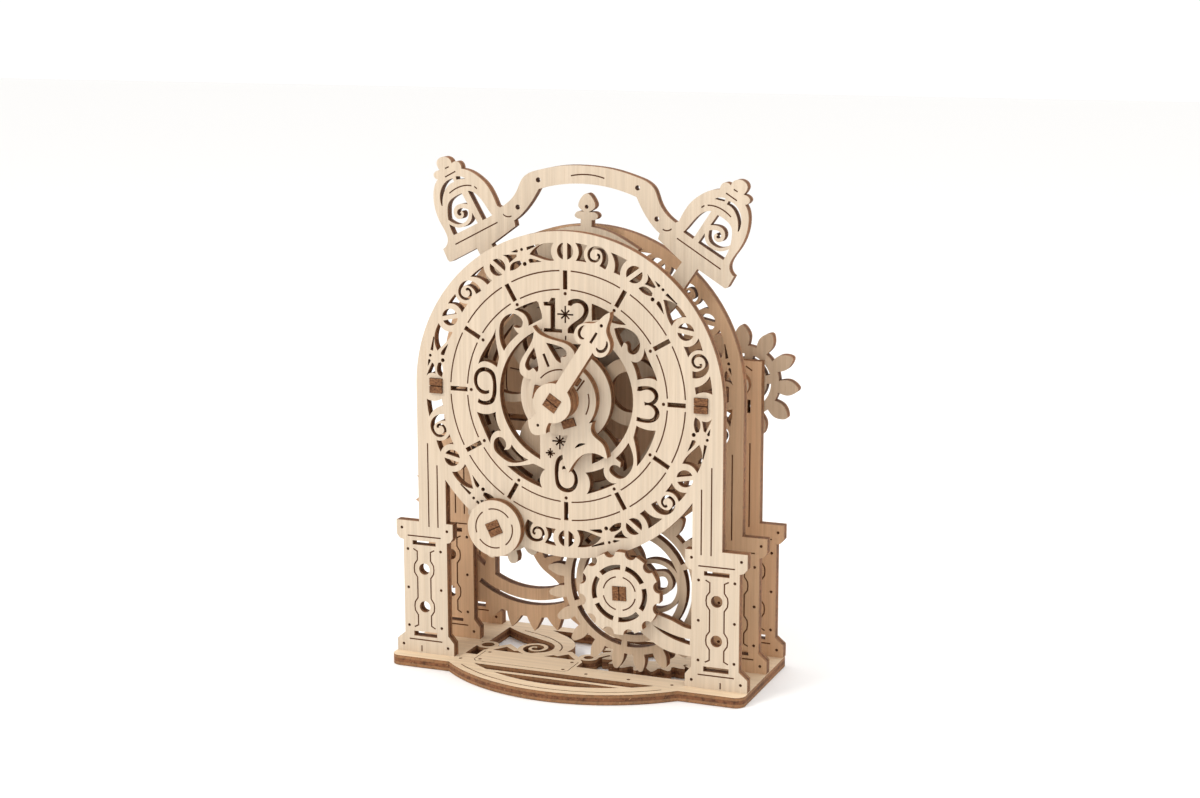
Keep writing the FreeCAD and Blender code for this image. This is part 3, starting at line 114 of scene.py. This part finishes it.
def plywood(name, axis, low, thick, face, tilt=0.0, seed=0.0, edge=1.0):
    """Laser-cut birch ply. axis is the sheet's normal, low the coordinate of
    its first face along it, face the colour of the sanded veneer."""
    n = Net(name)
    obj, nor = n.tc.outputs["Object"], n.tc.outputs["Normal"]
    px, py, pz = n.sep(obj)
    nx, ny, nz = n.sep(nor)
    na = ny if axis == "y" else nz
    pa = py if axis == "y" else pz
    flat = n.remap(n.math("ABSOLUTE", na), 0.80, 0.92)
    depth = n.math("SUBTRACT", pa, low)
    # engraved floors lie inside the sheet's thickness
    inside = n.math("MULTIPLY", n.math("GREATER_THAN", depth, 0.12 * MM), n.math("LESS_THAN", depth, thick - 0.12 * MM))
    # veneer: long fine grain, broad tone, pores
    rot = (0, tilt, 0) if axis == "y" else (0, 0, tilt)
    if axis == "y":
        long_s, mid_s, pore_s = (2600, 300, 46), (900, 200, 24), (5200, 400, 260)
    else:
        long_s, mid_s, pore_s = (46, 2600, 300), (24, 900, 200), (260, 5200, 400)
    g1 = n.noise(n.vmul(obj, long_s, rot, (seed, seed * 2, 0)), 1.0, 3.0, 0.6, 0.2)
    g2 = n.noise(n.vmul(obj, mid_s, rot, (0, seed * 3, seed)), 1.0, 2.0, 0.5, 0.4)
    g3 = n.noise(n.vmul(obj, pore_s, rot, (seed, 0, seed)), 1.0, 1.0, 0.5)
    broad = n.noise(n.vmul(obj, (34, 34, 34), (0, 0, 0), (seed, seed, seed)), 1.0, 2.0, 0.5)
    c = n.mix(n.remap(g2, 0.32, 0.70), tuple(v * 0.90 for v in face), tuple(min(1, v * 1.07) for v in face))
    c = n.mix(n.remap(g1, 0.50, 0.72, 0.0, 0.36), c, tuple(v * k for v, k in zip(face, (0.76, 0.68, 0.58))))
    c = n.mix(n.remap(g3, 0.66, 0.80, 0.0, 0.30), c, tuple(v * k for v, k in zip(face, (0.60, 0.52, 0.44))))
    c = n.mix(n.remap(broad, 0.30, 0.75, 0.0, 0.22), c, tuple(v * k for v, k in zip(face, (0.88, 0.80, 0.70))))
    # cut edge: browned by the laser, three plies, light nicks
    e = edge
    dark, mid, light = srgb(52, 29, 17), srgb(116, 74, 46), srgb(190, 148, 104)
    u = n.math("DIVIDE", depth, thick)
    en = n.noise(n.vmul(obj, (900, 900, 900), (0, 0, 0), (seed, 0, 0)), 1.0, 4.0, 0.65)
    eb = n.noise(n.vmul(obj, (90, 90, 90), (0, 0, 0), (0, seed, 0)), 1.0, 2.0, 0.5)
    ec = n.mix(n.remap(eb, 0.3, 0.7), tuple(v * e * 0.8 for v in mid), tuple(min(1, v * 1.45 * e) for v in mid))
    ec = n.mix(n.remap(en, 0.44, 0.66, 0.0, 0.80), ec, tuple(v * e for v in dark))
    ply = n.math("MULTIPLY", n.remap(n.math("ABSOLUTE", n.math("SUBTRACT", u, 0.5)), 0.13, 0.20), n.remap(n.math("ABSOLUTE", n.math("SUBTRACT", u, 0.5)), 0.5, 0.42))
    ec = n.mix(n.math("MULTIPLY", ply, 0.26), ec, tuple(v * e for v in light))
    seam = n.remap(n.math("ABSOLUTE", n.math("SUBTRACT", n.math("ABSOLUTE", n.math("SUBTRACT", u, 0.5)), 0.165)), 0.035, 0.0, 0.0, 0.55)
    ec = n.mix(seam, ec, tuple(v * e for v in dark))
    nick = n.noise(n.vmul(obj, (1500, 1500, 1500), (0, 0, 0), (seed * 2, 3, 0)), 1.0, 1.0, 0.4)
    ec = n.mix(n.remap(nick, 0.70, 0.78, 0.0, 0.55), ec, light)
    # engraved floors inside the sheet's thickness are scorched brown by the beam
    c = n.mix(inside, c, srgb(104, 64, 38))
    col = n.mix(flat, ec, c)
    n.link(col, n.bsdf.inputs["Base Color"])
    rough = n.math("ADD", n.remap(g1, 0.3, 0.8, 0.0, 0.14), n.math("MULTIPLY", n.math("SUBTRACT", 1.0, flat), 0.08))
    n.link(n.math("ADD", rough, 0.58), n.bsdf.inputs["Roughness"])
    n.bsdf.inputs["Specular IOR Level"].default_value = 0.28
    bump = n.t.nodes.new("ShaderNodeBump")
    bump.inputs["Strength"].default_value = 0.35
    bump.inputs["Distance"].default_value = 0.00006
    h = n.math("ADD", n.math("MULTIPLY", n.math("ADD", g1, n.math("MULTIPLY", g3, 0.7)), flat),
               n.math("MULTIPLY", n.math("MULTIPLY", en, 1.6), n.math("SUBTRACT", 1.0, flat)))
    n.link(h, bump.inputs["Height"])
    n.link(bump.outputs[0], n.bsdf.inputs["Normal"])
    return n.mat


def scorched(name, seed=0.0):
    """Square pins and axles: burnt long sides, end grain with fine fibres."""
    n = Net(name)
    obj, nor = n.tc.outputs["Object"], n.tc.outputs["Normal"]
    nx, ny, nz = n.sep(nor)
    end = n.remap(n.math("ABSOLUTE", ny), 0.8, 0.92)
    f1 = n.noise(n.vmul(obj, (1500, 260, 2600), (0, 0.4, 0), (seed, 0, 0)), 1.0, 3.0, 0.6, 0.5)
    f2 = n.noise(n.vmul(obj, (500, 120, 500), (0, 0, 0), (0, seed, 0)), 1.0, 2.0, 0.5)
    side = n.mix(n.remap(f1, 0.38, 0.68), srgb(48, 27, 17), srgb(112, 74, 47))
    side = n.mix(n.remap(f2, 0.5, 0.8, 0.0, 0.45), side, srgb(158, 114, 78))
    cap = n.mix(n.remap(f1, 0.36, 0.64), srgb(80, 48, 29), srgb(140, 97, 62))
    cap = n.mix(n.remap(f2, 0.46, 0.76, 0.0, 0.50), cap, srgb(58, 33, 20))
    n.link(n.mix(end, side, cap), n.bsdf.inputs["Base Color"])
    n.bsdf.inputs["Roughness"].default_value = 0.72
    n.bsdf.inputs["Specular IOR Level"].default_value = 0.22
    bump = n.t.nodes.new("ShaderNodeBump")
    bump.inputs["Strength"].default_value = 0.5
    bump.inputs["Distance"].default_value = 0.0001
    n.link(n.math("ADD", f1, f2), bump.inputs["Height"])
    n.link(bump.outputs[0], n.bsdf.inputs["Normal"])
    return n.mat


PALE = srgb(202, 185, 164)
# the next two tones are darker copies of the veneer: painted shade for the wheels and plates that sit behind the front
# plate
SHADED_WARM = srgb(191, 168, 143)
SHADED_TAN = srgb(204, 168, 134)
BASE = srgb(224, 201, 171)

seed = 0.0
for name, o in sorted(nodes.items()):
    seed += 1.7
    lo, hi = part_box(name)
    if "axle" in name or "peg" in name or "hour_pin" in name:
        m = scorched("scorched_" + name, seed)
    elif name == "base_plate":
        m = plywood("ply_" + name, "z", lo[2], hi[2] - lo[2], BASE, 0.0, seed)
    else:
        face = PALE
        # painted shade: parts behind the front plate get a darker copy of the veneer, and the plates, great wheel and
        # rear centre gear get the darkest one
        if name in ("middle_plate", "back_plate", "great_wheel", "rear_centre_gear", "rear_wheel", "hour_wheel", "large_gear"):
            face = SHADED_TAN if name in ("middle_plate", "back_plate", "great_wheel", "rear_centre_gear") else SHADED_WARM
        tilt = {"minute_hand": 0.58, "hour_hand": -0.40, "small_gear": 0.3, "knob": 0.15, "great_wheel": 0.9,
                "large_gear": 0.05, "rear_wheel": 0.25, "hour_wheel": 1.2}.get(name, 0.02)
        m = plywood("ply_" + name, "y", lo[1], hi[1] - lo[1], face, tilt, seed)
    for s in o.material_slots:
        s.material = m
    if not o.material_slots:
        o.data.materials.append(m)

# --------------------------------------------------------------------- camera
AZ, EL, ROLL = math.radians(21.8136), math.radians(11.3191), math.radians(-0.095)
d = Vector((-math.sin(AZ) * math.cos(EL), math.cos(AZ) * math.cos(EL), -math.sin(EL)))
r = Vector((math.cos(AZ), math.sin(AZ), 0))
u = r.cross(d)
r2 = r * math.cos(ROLL) + u * math.sin(ROLL)
u2 = -r * math.sin(ROLL) + u * math.cos(ROLL)
pos = Vector((0, 0, ZC)) + r2 * 0.009897 - u2 * 0.00063 - d * 0.61459
cam_data = bpy.data.cameras.new("camera")
cam_data.lens = 64.005
cam_data.sensor_width = 36.0
cam_data.clip_start = 0.01
cam_data.clip_end = 20.0
cam = bpy.data.objects.new("camera", cam_data)
bpy.context.scene.collection.objects.link(cam)
m = Matrix((r2, u2, -d)).transposed().to_4x4()
m.translation = pos
cam.matrix_world = m
bpy.context.scene.camera = cam
bpy.context.scene.view_settings.view_transform = "Standard"

# ---------------------------------------------------------------------- stage
mesh = bpy.data.meshes.new("floor")
S = 3.0
mesh.from_pydata([(-S, -S, -0.0002), (S, -S, -0.0002), (S, S, -0.0002), (-S, S, -0.0002)], [], [(0, 1, 2, 3)])
floor = bpy.data.objects.new("floor", mesh)
bpy.context.scene.collection.objects.link(floor)
fn = Net("floor_white")
fn.bsdf.inputs["Base Color"].default_value = (0.94, 0.935, 0.93, 1)
fn.bsdf.inputs["Roughness"].default_value = 0.9
fn.bsdf.inputs["Specular IOR Level"].default_value = 0.1
mesh.materials.append(fn.mat)

world = bpy.data.worlds.new("studio")
world.use_nodes = True
bpy.context.scene.world = world
bg = world.node_tree.nodes["Background"]
bg.inputs[0].default_value = (1.0, 0.995, 0.985, 1)
bg.inputs[1].default_value = 1.05


def area(name, loc, target, size, power, colour=(1, 1, 1)):
    ld = bpy.data.lights.new(name, "AREA")
    ld.shape = "RECTANGLE"
    ld.size, ld.size_y = size
    ld.energy = power
    ld.color = colour
    o = bpy.data.objects.new(name, ld)
    o.location = loc
    o.rotation_euler = (Vector(target) - Vector(loc)).to_track_quat("-Z", "Y").to_euler()
    bpy.context.scene.collection.objects.link(o)
    return o


area("key", (-0.45, -0.60, 0.75), (0, 0, 0.08), (0.35, 0.35), 4.6, (1.0, 0.985, 0.96))
area("fill", (0.85, -0.45, 0.35), (0, 0, 0.08), (0.6, 0.6), 0.8, (0.97, 0.985, 1.0))
area("top", (0.05, 0.25, 0.9), (0, 0, 0.05), (0.7, 0.5), 1.6, (1, 1, 1))
